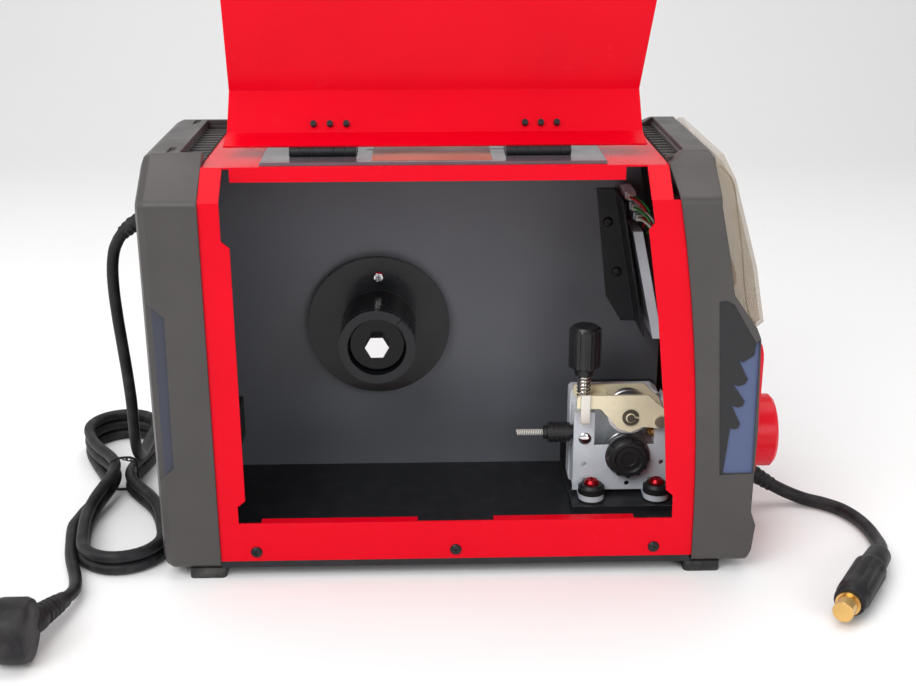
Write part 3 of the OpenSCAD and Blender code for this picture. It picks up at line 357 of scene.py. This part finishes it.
def from_bmesh(name, build, finish, body="machine", at=Matrix.Identity(4), smooth=40):
    """A piece from a function that adds faces to a bmesh, moved to the place at."""
    form = bmesh.new()
    build(form)
    bmesh.ops.transform(form, matrix=at, verts=form.verts)
    bmesh.ops.recalc_face_normals(form, faces=form.faces)
    mesh = bpy.data.meshes.new(name)
    form.to_mesh(mesh)
    form.free()
    return piece(name, mesh, finish, body, smooth)


def aim(start, direction):
    """A place at start, given in millimetres, with +Z along direction."""
    turn = Vector(direction).to_track_quat("Z", "Y").to_matrix().to_4x4()
    return Matrix.Translation(Vector(start) * MM) @ turn


def turned(profile, sides=48, squash=1.0):
    """Adds a solid of revolution about Z from (radius, height) pairs in millimetres, closed at both ends."""
    def build(form):
        rings = []
        for radius, height in profile:
            ring = []
            for k in range(sides):
                angle = 2 * math.pi * k / sides
                spot = (radius * math.cos(angle) * MM, radius * squash * math.sin(angle) * MM, height * MM)
                ring.append(form.verts.new(spot))
            rings.append(ring)
        skin(form, rings)
    return build


def skin(form, rings):
    """Adds the faces between neighbouring rings of vertices, and one face over each end."""
    sides = len(rings[0])
    for low, high in zip(rings, rings[1:]):
        for k in range(sides):
            form.faces.new((low[k], low[(k + 1) % sides], high[(k + 1) % sides], high[k]))
    form.faces.new(rings[0])
    form.faces.new(rings[-1])


def bevelled_block(low, high, round_by, segments=3):
    """Adds a box between two corners, in millimetres, with rounded edges."""
    def build(form):
        size = [(b - a) * MM for a, b in zip(low, high)]
        middle = [(a + b) / 2 * MM for a, b in zip(low, high)]
        made = bmesh.ops.create_cube(form, size=1.0)["verts"]
        fit = Matrix.Translation(middle) @ Matrix.Diagonal((*size, 1.0))
        bmesh.ops.transform(form, matrix=fit, verts=made)
        edges = list({edge for vert in made for edge in vert.link_edges})
        bmesh.ops.bevel(form, geom=edges, offset=round_by * MM, segments=segments, affect="EDGES",
                        profile=0.5)
    return build


def several(builds):
    """Adds several shapes to one mesh."""
    def build(form):
        for one in builds:
            one(form)
    return build


# ---- lines ----

def smooth_line(points, step=4.0):
    """A centripetal Catmull-Rom line through the points, in millimetres, with a point about every step."""
    points = [Vector(p) for p in points]
    before = 2 * points[0] - points[1]
    after = 2 * points[-1] - points[-2]
    points = [before, *points, after]
    line = []
    for i in range(1, len(points) - 2):
        a, b, c, d = points[i - 1:i + 3]
        t1 = (b - a).length ** 0.5
        t2 = t1 + (c - b).length ** 0.5
        t3 = t2 + (d - c).length ** 0.5
        count = max(1, int((c - b).length / step))
        for k in range(count):
            t = t1 + (t2 - t1) * k / count
            ab = a.lerp(b, t / t1)
            bc = b.lerp(c, (t - t1) / (t2 - t1))
            cd = c.lerp(d, (t - t2) / (t3 - t2))
            line.append(ab.lerp(bc, t / t2).lerp(bc.lerp(cd, (t - t1) / (t3 - t1)), (t - t1) / (t2 - t1)))
    line.append(points[-2])
    return line


def tube(name, line, radius, finish, body="machine", sides=3, radii=None):
    """A curve of one open spline with a round section; radii scales the radius point by point."""
    data = bpy.data.curves.new(name, "CURVE")
    data.dimensions = "3D"
    data.bevel_depth = radius * MM
    data.bevel_resolution = sides
    data.use_fill_caps = True
    spline = data.splines.new("POLY")
    spline.points.add(len(line) - 1)
    for i, (point, spot) in enumerate(zip(spline.points, line)):
        point.co = (*(Vector(spot) * MM), 1.0)
        point.radius = radii[i] if radii else 1.0
    spline.use_smooth = True
    made = bpy.data.objects.new(name, data)
    bpy.context.collection.objects.link(made)
    data.materials.append(M[finish])
    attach(made, body)
    return made


def helix(start, direction, radius, turns, pitch, per_turn=20):
    """Points of a coil spring, in millimetres, that starts at a place and runs along a direction."""
    place = aim(start, direction)
    line = []
    for i in range(int(turns * per_turn) + 1):
        turn = i / per_turn
        angle = 2 * math.pi * turn
        spot = Vector((radius * math.cos(angle), radius * math.sin(angle), turn * pitch)) * MM
        line.append(place @ spot / MM)
    return line


# ---- cords ----

# Diameters and routes in millimetres
MAINS_D = 8.0
LEAD_D = 9.0
MAINS_DROP = [
    (-206.5, 28, 206), (-213, 28, 205.4), (-221, 28, 202.6), (-229, 28, 196.6), (-235, 28, 187),
    (-237.8, 28, 175), (-238.6, 28, 158), (-237.8, 28, 138), (-236.2, 28, 116), (-234.6, 28, 94),
    (-233.6, 28, 74), (-233.6, 28.4, 57), (-234.2, 31.6, 43), (-235, 39, 31.6), (-235.6, 49, 24.8),
]
MAINS_LANDING = [(-236, 62, 21), (-236.3, 76, 20.6)]
MAINS_TAIL = [
    (-268.4, -22, 4.2), (-266.6, -35, 4.2), (-263.8, -48, 4.2), (-260.6, -62, 4.2), (-256.2, -76, 4.2),
    (-251.2, -90, 4.4), (-247.4, -103, 5.4), (-245.3, -114, 7), (-245.4, -122.5, 8.5), (-247, -130, 9.8),
]
LEAD_ROUTE = [
    (187, 3, 34), (194, 3, 31), (204, 3, 24), (216, 4, 16), (228, 4, 9.5), (240, 1, 5.5), (252, -5, 4.6),
    (262, -15, 4.6), (268.5, -29, 4.6), (271.5, -45, 4.6), (271.5, -61, 5), (269, -76, 8), (264, -90, 11),
]
HANK_NEAR = Vector((-227, -58))
HANK_FAR = Vector((-262, 112))
HANK_AXIS = (HANK_FAR - HANK_NEAR).normalized()
HANK_SIDE = Vector((HANK_AXIS.y, -HANK_AXIS.x))
ON_FLOOR = 4.2       # height of the mains cord's centre line where it lies on the floor
LAYER = 8.2          # height of one layer of turns
HALF_GAP = 25.7      # half the distance between the hank's two runs, away from the tie
TIE_AT = 0.58        # where along the hank the tie draws its runs together
TIE_PULL = 20.7      # how far the tie draws each run in
TIE_REACH = 0.22     # how far along the hank the tie's pull is felt
OUTER_RUN = 8.8      # how far the last run lies outside the others

GRIP_SIDES = 72
GRIP_FLUTES = 9
# Height, radius and depth of the flutes along the lead plug's handle
GRIP_STATIONS = [
    (0, 6.0, 0), (1.5, 6.6, 0), (4, 7.8, 0), (20, 8.6, 0), (22, 8.6, 0), (24, 9.8, 0),
    (26, 10.7, 0.02), (30, 10.8, 0.06), (45, 10.8, 0.06), (58, 10.8, 0.06), (62, 10.8, 0.02),
    (64, 10.4, 0), (66, 9.8, 0), (70, 9.8, 0), (71.6, 9.2, 0), (72, 8.4, 0),
]


def ease(low, high, value):
    """0 below low, 1 above high, and a smooth step between them."""
    share = min(1.0, max(0.0, (value - low) / (high - low)))
    return share * share * (3 - 2 * share)


def half_gap(t):
    """Half the distance between the hank's two runs at a share t of its length."""
    return HALF_GAP - TIE_PULL * math.exp(-(((t - TIE_AT) / TIE_REACH) ** 2))


def hank_run(side, start, end, height, count, outward=False, sinks=False):
    """Points of one run, from share start to share end of the hank's length.

    An outward run leaves the others towards the near end, and one that sinks drops a layer there.
    """
    points = []
    for i in range(count + 1):
        t = start + (end - start) * i / count
        gap = half_gap(t) + (OUTER_RUN * (1 - ease(0.5, 0.88, t)) if outward else 0)
        flat = HANK_NEAR.lerp(HANK_FAR, t) + HANK_SIDE * side * gap
        sunk = LAYER * (1 - ease(0.2, 0.6, t)) if sinks else 0
        points.append((flat.x, flat.y, height - sunk))
    return points


def hank_fold(centre, radius, height, first, last, count=8):
    """Points of one round end of the hank."""
    points = []
    for i in range(1, count):
        angle = math.radians(first + (last - first) * i / count)
        flat = centre + radius * (math.cos(angle) * HANK_SIDE + math.sin(angle) * HANK_AXIS)
        points.append((flat.x, flat.y, height))
    return points


def mains_route():
    """From the gland down to the hank, round its turns from the top layer down, and out to the plug."""
    top = ON_FLOOR + 2 * LAYER
    points = MAINS_DROP + MAINS_LANDING + hank_run(1, 0.85, 1, top, 2)
    for layer in (2, 1):
        height = ON_FLOOR + layer * LAYER
        points += hank_fold(HANK_FAR, half_gap(1), height, 0, 180)
        points += hank_run(-1, 1, 0, height, 14, sinks=True)
        points += hank_fold(HANK_NEAR, half_gap(0), height - LAYER, 180, 360)
        points += hank_run(1, 0, 1, height - LAYER, 14)
    points += hank_fold(HANK_FAR, half_gap(1), ON_FLOOR, 0, 180)
    points += hank_run(-1, 1, 0.3, ON_FLOOR, 10, outward=True)
    return points + MAINS_TAIL


def ribbed_sleeve(name, line, small, large, ribs, finish):
    """A tapered strain relief along a line, from its large end to its small one, with ribs round it."""
    radii = []
    for i in range(len(line)):
        share = i / (len(line) - 1)
        wave = 0.5 + 0.5 * math.cos(2 * math.pi * ribs * share)
        radii.append((large + (small - large) * share) * (0.9 + 0.1 * wave) / large)
    return tube(name, line, large, finish, radii=radii, sides=7)


def boxed(value):
    """A cosine or sine drawn towards 1 or -1, which makes a rounded box of a circle."""
    return math.copysign(abs(value) ** 0.55, value)


def tie_band():
    """A thin tie drawn round the hank's runs, with its twisted ends on top."""
    centre = HANK_NEAR.lerp(HANK_FAR, TIE_AT)
    half_width, half_height, middle = 9.9, 12.408, 13.6
    line = []
    for i in range(33):
        angle = 2 * math.pi * i / 32
        flat = centre + HANK_SIDE * (boxed(math.cos(angle)) * half_width + 0.6)
        line.append((flat.x, flat.y, middle + boxed(math.sin(angle)) * half_height))
    band = tube("hank_tie", line, 0.9, "lead_black")
    knot = Vector((centre.x, centre.y, 26.3))
    twist = 1.1
    ends = []
    for i in range(25):
        angle = i * 0.9
        reach = i * 0.45
        rise = -0.9 + 0.2 * math.sin(angle)
        across = twist * math.cos(angle) + reach
        along = twist * math.sin(angle) - reach * 0.5
        ends.append(knot + Vector((across, along, rise)))
    tube("hank_tie_twist", ends, 0.5, "lead_black", sides=2)
    return band


def mains_plug():
    """The plug's round body, its two pins and its ribbed strain relief."""
    axis = Vector((-1, 0, 0))
    middle_y, middle_z = -180, 19
    body = turned([
        (0.5, 0), (14, 0), (17.6, 1.2), (18.9, 4), (18.9, 17), (18.2, 20), (16.6, 21.8), (16.4, 24.6),
        (15.4, 25), (0.5, 25),
    ], 64)
    shell = from_bmesh("plug_shell", body, "cord", at=aim((-251, middle_y, middle_z), axis), smooth=35)
    neck_axis = Vector((0.2895, 0.947, -0.139))
    neck = turned([
        (0.5, -8), (7.6, -8), (8.6, -6), (8.6, 7), (8.2, 10), (6.9, 11), (6.9, 13.2), (7.5, 13.4),
        (7.5, 15.6), (6.7, 15.8), (6.7, 18), (7.1, 18.2), (7.1, 20.4), (6.3, 20.6), (6.3, 22.8), (6.7, 23),
        (6.7, 25.2), (5.9, 25.4), (5.9, 27.6), (6.2, 27.8), (6.2, 30), (5.5, 30.2), (5.4, 36), (5.0, 37.6),
        (0.5, 37.6),
    ], 40, 0.97)
    relief = from_bmesh("plug_relief", neck, "cord", at=aim((-258, -166, 15), neck_axis), smooth=35)
    pins = []
    for side in (-1, 1):
        pin = turned([(0.3, 0), (2.4, 0), (2.4, 17.6), (1.9, 18.8), (0.9, 19.4), (0.3, 19.4)], 24)
        place = aim((-275.5, middle_y, middle_z + side * 9.5), axis)
        pins.append(from_bmesh(f"plug_pin_{2 + side}", pin, "chrome", at=place))
    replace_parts(shell, "mains_plug")
    return [shell, relief, *pins]


def add_cords():
    """The mains cord with its hank, tie and plug, and the polarity lead with its boot and plug."""
    line = smooth_line(mains_route())
    cord = tube("mains_lead", line, MAINS_D / 2, "cord", sides=6)
    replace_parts(cord, "mains_cord", "mains_hank")
    relief = ribbed_sleeve("gland_relief", smooth_line(MAINS_DROP[:4], 0.6), 4.9, 7.4, 6, "cord")
    band = tie_band()
    mains_plug()
    line = smooth_line(LEAD_ROUTE)
    lead = tube("polarity_cable", line, LEAD_D / 2, "cord", sides=6)
    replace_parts(lead, "polarity_lead")
    boot_line = smooth_line([(186.8, 3, 34), *LEAD_ROUTE[1:4]], 0.6)
    boot = ribbed_sleeve("polarity_boot", boot_line, 5.2, 7.2, 7, "cord")
    polarity_grip()


def polarity_grip():
    """The lead plug's rubber handle: a smooth boot, then a fluted grip."""
    def build(form):
        rings = []
        for height, radius, flute in GRIP_STATIONS:
            ring = []
            for k in range(GRIP_SIDES):
                angle = 2 * math.pi * k / GRIP_SIDES
                groove = (0.5 + 0.5 * math.cos(GRIP_FLUTES * angle)) ** 3 * 1.6
                reach = radius * (1 - flute * groove)
                spot = (reach * math.cos(angle) * MM, reach * math.sin(angle) * MM, height * MM)
                ring.append(form.verts.new(spot))
            rings.append(ring)
        skin(form, rings)
    at = aim(LEAD_ROUTE[-1], (-0.54, -0.84, 0))
    grip = from_bmesh("polarity_grip", build, "cord", at=at, smooth=45)
    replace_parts(grip, "polarity_plug")
    return grip


# ---- springs, wires and small parts ----

HUB_X, HUB_Z = -59.1, 128             # axis of the spool hub
WIRE_Y, WIRE_Z = -17, 67              # the welding wire's path through the feeder
STUD_X = 78.6                         # axis of the tension stud
HARNESS_COLORS = ["wire_red", "wire_green", "wire_white"]


def add_springs():
    """The brake spring, the tension spring and the coiled liner that the wire comes in through."""
    brake = helix((HUB_X, -5.2, HUB_Z), (0, 1, 0), 9.4, 5, 3.3)
    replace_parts(tube("brake_coil", brake, 0.9, "steel"), "brake_spring")
    tension = helix((STUD_X, WIRE_Y, 94.0), (0, 0, 1), 3.9, 5.4, 2.5)
    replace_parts(tube("tension_coil", tension, 0.8, "chrome", "tension_stud"), "tension_spring")
    tube("wire_liner", helix((34, WIRE_Y, WIRE_Z), (1, 0, 0), 1.75, 15, 1.2, 14), 0.5, "wire_white", sides=2)


def add_harness():
    """Connectors and their wires behind the front edge of the opening."""
    for i in range(3):
        x = 107 + i * 3
        z = 220.6 - i * 7
        shell = bevelled_block((x, 9.5, z - 0.4), (x + 5.6, 13.9, z + 4), 0.5)
        from_bmesh(f"connector_{i}", shell, "white_plastic")
        for k in range(2):
            side = x + 1.6 + k * 2.4
            line = smooth_line([
                (side, 10.5, z + 1.8), (side + 0.5, 6, z + 2.2), (side + 4, 1.5 + k, z + 0.5),
                (side + 9, 2 + k, z - 5), (side + 11, 8 + 2 * k, z - 13), (side + 10.5, 16, z - 20 + i * 3),
            ], 1.5)
            tube(f"harness_{i}_{k}", line, 0.85, HARNESS_COLORS[(i + k) % 3])


def screw_head(name, spot, direction, radius, finish):
    """A pan head with a rolled edge and a thin bar across its top that reads as its slot."""
    def build(form):
        turned([
            (0.05, 0), (radius, 0), (radius, 0.7), (radius * 0.92, 1.25), (radius * 0.7, 1.75),
            (radius * 0.4, 2.0), (0.05, 2.05),
        ], 32)(form)
        bar = bevelled_block((-radius * 0.62, -0.35, 1.5), (radius * 0.62, 0.35, 2.1), 0.15, 1)
        bar(form)
    return from_bmesh(name, build, finish, at=aim(spot, direction))


def add_rear_screws():
    """The screws in the rear panel."""
    places = [(-79, 226), (79, 226), (-79, 120), (79, 100), (-79, 22), (79, 22)]
    for i, (y, z) in enumerate(places):
        screw_head(f"rear_screw_{i}", (-189.2, y, z), (-1, 0, 0), 3.2, "black_screw")


def add_console_plate():
    """The thin plate between the hinges, with a raised middle."""
    plate = several([
        bevelled_block((-58, -60, 261.9), (14, 4, 262.25), 0.12, 2),
        bevelled_block((-52, -52, 262.1), (8, -4, 262.4), 0.12, 2),
    ])
    from_bmesh("console_plate", plate, "console_plate")


def add_feeder_details():
    """The flat bar in front of the arm, the roller pin's bright end and a pin head in the post."""
    outwards = (0, -1, 0)
    bar = bevelled_block((75.4, -31.1, 78.5), (81.9, -29.6, 98.6), 0.45, 3)
    from_bmesh("tension_bar", bar, "bright_plate", "tension_stud")
    face = turned([(0.2, 0), (3.3, 0), (3.3, 0.35), (3, 0.6), (0.2, 0.6)], 36)
    from_bmesh("roller_pin_end", face, "zinc", "pressure_arm", aim((109, -30.1, 82), outwards))
    head = turned([(0.2, 0), (4.3, 0), (4.3, 0.5), (3.6, 1.2), (2, 1.6), (0.2, 1.7)], 36)
    from_bmesh("post_pin_head", head, "chrome", at=aim((79.6, -24.3, 65), outwards))


def add_visor_seam():
    """The dark moulded line inside the visor's side walls."""
    side = [
        (150.5, 258), (158.2, 249), (163.5, 226), (167.2, 206.2), (171, 179.4), (174.8, 164), (179.4, 157.5),
    ]
    for i, y in enumerate((-61.4, 61.4)):
        line = smooth_line([(x, y, z) for x, z in side], 2.0)
        tube(f"visor_seam_{i}", line, 0.45, "lead_black", "clear_visor", sides=2)


# ---- control panel ----

PANEL_AT = (158.5, 0, 166)            # origin of the panel's own axes, at its lower edge
PANEL_TILT = 11.5                     # degrees from upright
FACE = -5.2                           # the panel's front face along its own X axis
KNOB_YS = (-46, 46)
KNOB_Z = 20
BUTTON_Z = 22
MARK_CIRCLE = 15.5                    # radius of the circle of marks round a knob
# Corners of a digit's bars: lower left, lower right, bottom, middle, upper left, upper right, top
BARS = [
    ((0, 1), (1, 6)), ((5, 1), (6, 6)), ((1, 0), (5, 1)), ((1, 6), (5, 7)), ((0, 7), (1, 12)),
    ((5, 7), (6, 12)), ((1, 12), (5, 13)),
]
DIGITS = [(1, 5), (0, 2, 3, 5, 6), (0, 1, 2, 4, 5, 6)]        # lit bars of 1, 2 and 0
DIGITS_LEFT, DIGITS_FOOT, DIGIT_STEP = -13.5, 52, 10.5


def on_panel(x, y, z):
    """A place on the tilted control panel, in millimetres, with the panel's own axes."""
    tilt = Matrix.Rotation(math.radians(-PANEL_TILT), 4, "Y")
    return Matrix.Translation(Vector(PANEL_AT) * MM) @ tilt @ Matrix.Translation(Vector((x, y, z)) * MM)


def add_display():
    """The display window with a lit number."""
    window = bevelled_block((FACE, -26, 50), (-3.6, 26, 67), 0.6)
    from_bmesh("display_window", window, "display_glass", at=on_panel(0, 0, 0))
    strokes = []
    for place, lit in enumerate(DIGITS):
        left = DIGITS_LEFT + place * DIGIT_STEP
        for low, high in [BARS[k] for k in lit]:
            corner = (-3.6, left + low[0], DIGITS_FOOT + low[1])
            far = (-3.3, left + high[0], DIGITS_FOOT + high[1])
            strokes.append(bevelled_block(corner, far, 0.08, 1))
    from_bmesh("display_segments", several(strokes), "segments", at=on_panel(0, 0, 0))


def add_knob_marks():
    """Scale marks round the two knobs, where the panel has room for them."""
    marks = []
    for y in KNOB_YS:
        for k in range(11):
            angle = math.radians(-135 + 27 * k)
            across, up = MARK_CIRCLE * math.sin(angle), MARK_CIRCLE * math.cos(angle)
            spot = Vector((FACE, y + across, KNOB_Z + up))
            if spot.z > 5:
                low, high = spot - Vector((0.2, 0.5, 0.5)), spot + Vector((0.25, 0.5, 0.5))
                marks.append(bevelled_block(low, high, 0.1, 1))
    from_bmesh("knob_marks", several(marks), "print", at=on_panel(0, 0, 0))


def add_button_ring():
    """A bright ring round the gas button."""
    ring = turned([(5.2, 0), (7.2, 0), (7.2, 0.8), (6.6, 1.4), (5.6, 1.4), (5.2, 1.0)], 40)

    def hollow(form):
        ring(form)
        caps = [face for face in form.faces if len(face.verts) > 10]
        bmesh.ops.delete(form, geom=caps, context="FACES")
    place = on_panel(FACE, 0, BUTTON_Z) @ Matrix.Rotation(math.radians(90), 4, "Y")
    from_bmesh("button_ring", hollow, "steel", at=place)


# ---- floor and light ----

STUDIO_FRONT = -2.6       # front edge of the floor
SWEEP_START = 1.2         # where the floor starts to curve up
SWEEP = 0.9               # radius of that curve
STUDIO_TOP = 3.2
STUDIO_HALF = 4.0
WORLD_LIGHT = 0.42
LIGHTS_AIM = (0, 0, 0.15)


def plain(name, color, rough):
    """A quiet finish for the floor, with a trace of unevenness."""
    f = Finish(name)
    f.feed(f.shader.inputs["Base Color"], f.mix(f.noise(6.0), rgb(color, 0.985), rgb(color)))
    f.feed(f.shader.inputs["Roughness"], f.span(f.noise(40.0), 0.3, 0.7, rough - 0.05, rough + 0.05))
    return f.material


def add_floor():
    """A pale floor that curves up into a backdrop."""
    profile = [(STUDIO_FRONT, 0.0), (SWEEP_START, 0.0)]
    for i in range(1, 13):
        angle = math.radians(90 * i / 12)
        profile.append((SWEEP_START + SWEEP * math.sin(angle), SWEEP - SWEEP * math.cos(angle)))
    profile.append((SWEEP_START + SWEEP, STUDIO_TOP))
    mesh = bpy.data.meshes.new("floor")
    spots = [(x, y, z) for y, z in profile for x in (-STUDIO_HALF, STUDIO_HALF)]
    faces = [(2 * i, 2 * i + 1, 2 * i + 3, 2 * i + 2) for i in range(len(profile) - 1)]
    mesh.from_pydata(spots, [], faces)
    mesh.materials.append(plain("floor", (0.9, 0.9, 0.9), 0.6))
    floor = bpy.data.objects.new("floor", mesh)
    for face in mesh.polygons:
        face.use_smooth = True
    bpy.context.collection.objects.link(floor)


def add_light(name, place, size, power):
    """A white area light at a place in metres, turned to the machine."""
    data = bpy.data.lights.new(name, "AREA")
    data.shape = "RECTANGLE"
    data.size = size[0]
    data.size_y = size[1]
    data.energy = power
    light = bpy.data.objects.new(name, data)
    light.matrix_world = aim([v / MM for v in place], Vector(place) - Vector(LIGHTS_AIM))
    bpy.context.collection.objects.link(light)


def add_lighting():
    """A white surround and four soft lights."""
    world = bpy.data.worlds.new("studio")
    world.use_nodes = True
    world.node_tree.nodes["Background"].inputs["Color"].default_value = (1, 1, 1, 1)
    world.node_tree.nodes["Background"].inputs["Strength"].default_value = WORLD_LIGHT
    bpy.context.scene.world = world
    bpy.context.scene.view_settings.view_transform = "Standard"
    add_light("key", (-0.9, -1.3, 1.5), (1.2, 1.0), 24)
    add_light("front", (0.9, -1.5, 0.7), (1.0, 0.8), 9)
    add_light("top", (0, 0.2, 1.7), (1.6, 1.2), 15)
    add_light("left", (-1.5, 0.0, 0.7), (0.7, 0.9), 5)


add_camera()
dress_nodes()
add_cords()
add_springs()
add_harness()
add_rear_screws()
add_console_plate()
add_display()
add_knob_marks()
add_button_ring()
add_visor_seam()
add_feeder_details()
add_floor()
add_lighting()
